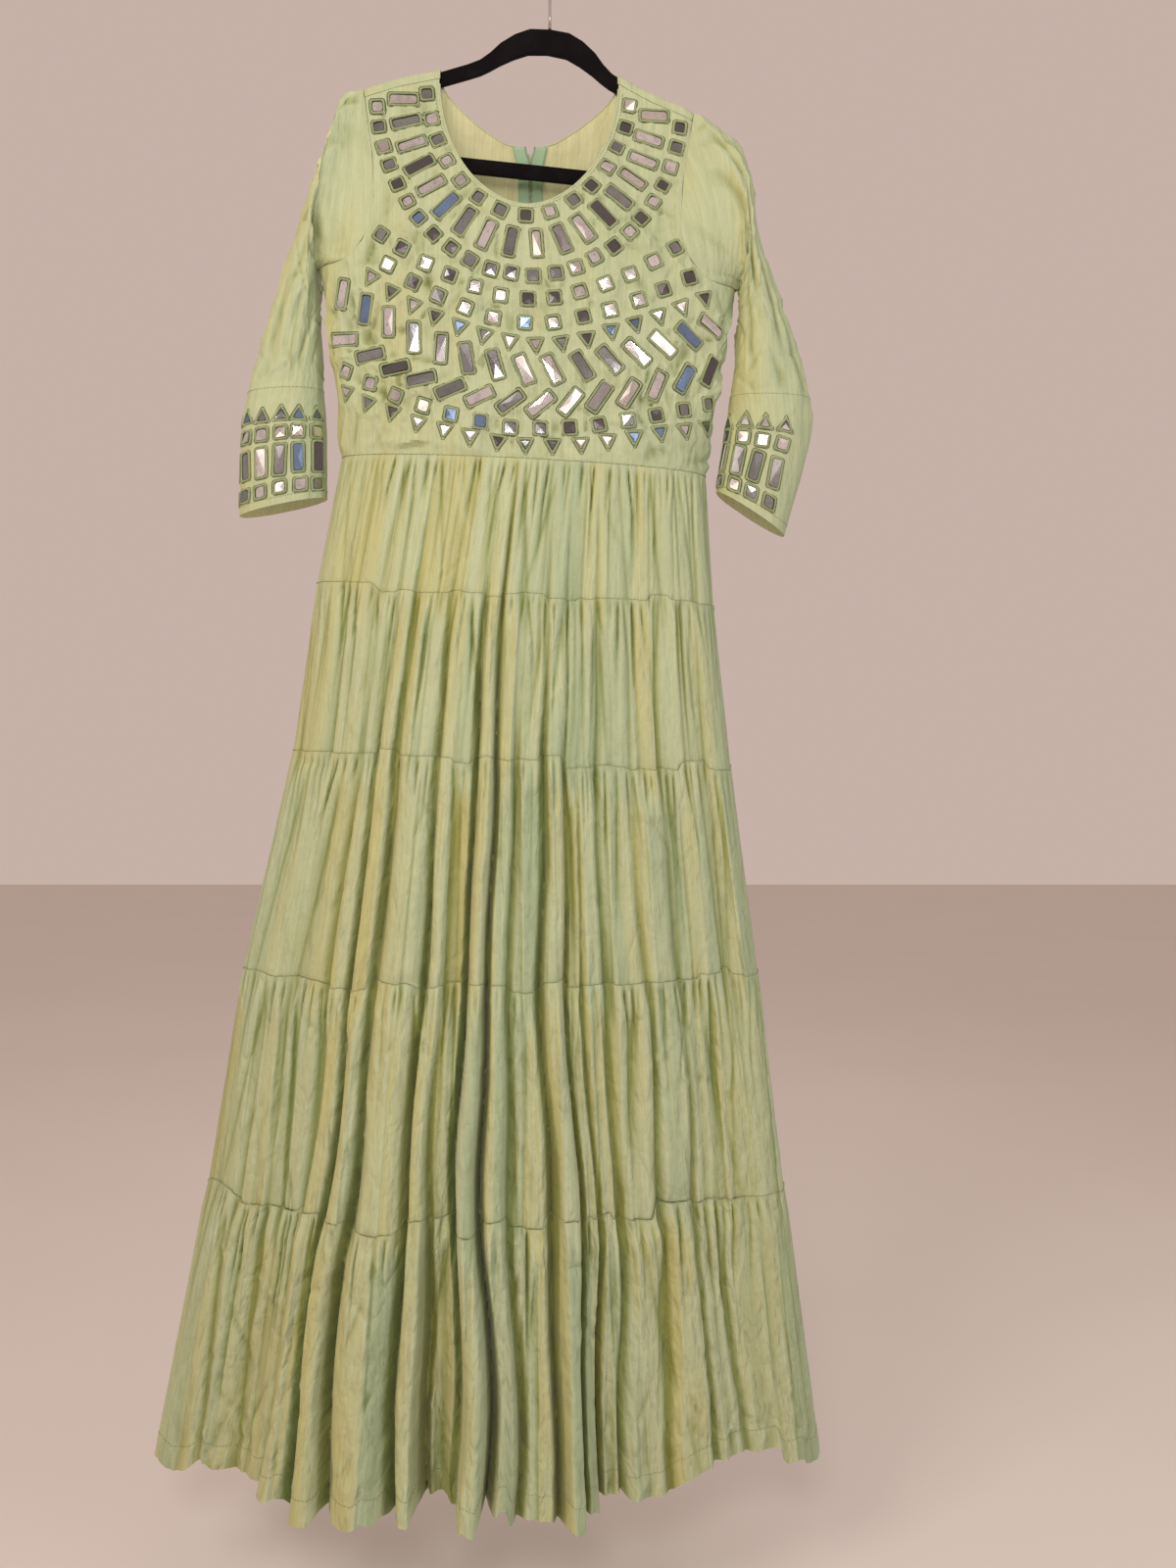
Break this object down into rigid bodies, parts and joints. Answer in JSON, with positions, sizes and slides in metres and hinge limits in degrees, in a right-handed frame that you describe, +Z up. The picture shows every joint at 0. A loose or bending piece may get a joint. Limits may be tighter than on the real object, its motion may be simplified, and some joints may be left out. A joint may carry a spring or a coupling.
{
  "type": "anarkali gown on a hanger",
  "caption": "Flared gown with sleeves below the elbow, gathered tiers and mirror-work bodice and cuffs, on a slim velvet hanger.",
  "frame": {"origin": "where a rod touches the inside of the hook's bend, so the whole part hangs below it", "axes": "+Z up, the gown's front faces -Y, +X is to the right of someone looking at the front"},
  "size_m": [0.6726, 0.2692, 1.4739],
  "materials": {
    "cloth": "matt olive-grey slub weave with a low sheen, embroidered mirror work on bodice and cuffs",
    "velvet": "black flocked velvet",
    "steel": "plated wire",
    "zip_tape": "woven tape",
    "zip_metal": "enamelled to match the tape"
  },
  "bodies": {
    "gown": {"hanger": "velvet", "hanger_hook": "steel", "bodice_front": "cloth", "bodice_back_left": "cloth", "bodice_back_right": "cloth", "sleeve_left": "cloth", "sleeve_right": "cloth", "skirt_tier_1": "cloth", "skirt_tier_2": "cloth", "skirt_tier_3": "cloth", "skirt_tier_4": "cloth", "skirt_tier_5": "cloth", "zip_tape_left": "zip_tape", "zip_tape_right": "zip_tape", "zip_slider": "zip_metal"},
    "zip_pull": {"zip_pull": "zip_metal"}
  },
  "joints": [
    {"name": "zip_pull_hinge", "type": "hinge", "parent": "gown", "child": "zip_pull", "pos_m": [-0.02, 0.02542, -0.18473], "axis": [1, 0, 0], "range_deg": [0, 140]}
  ]
}
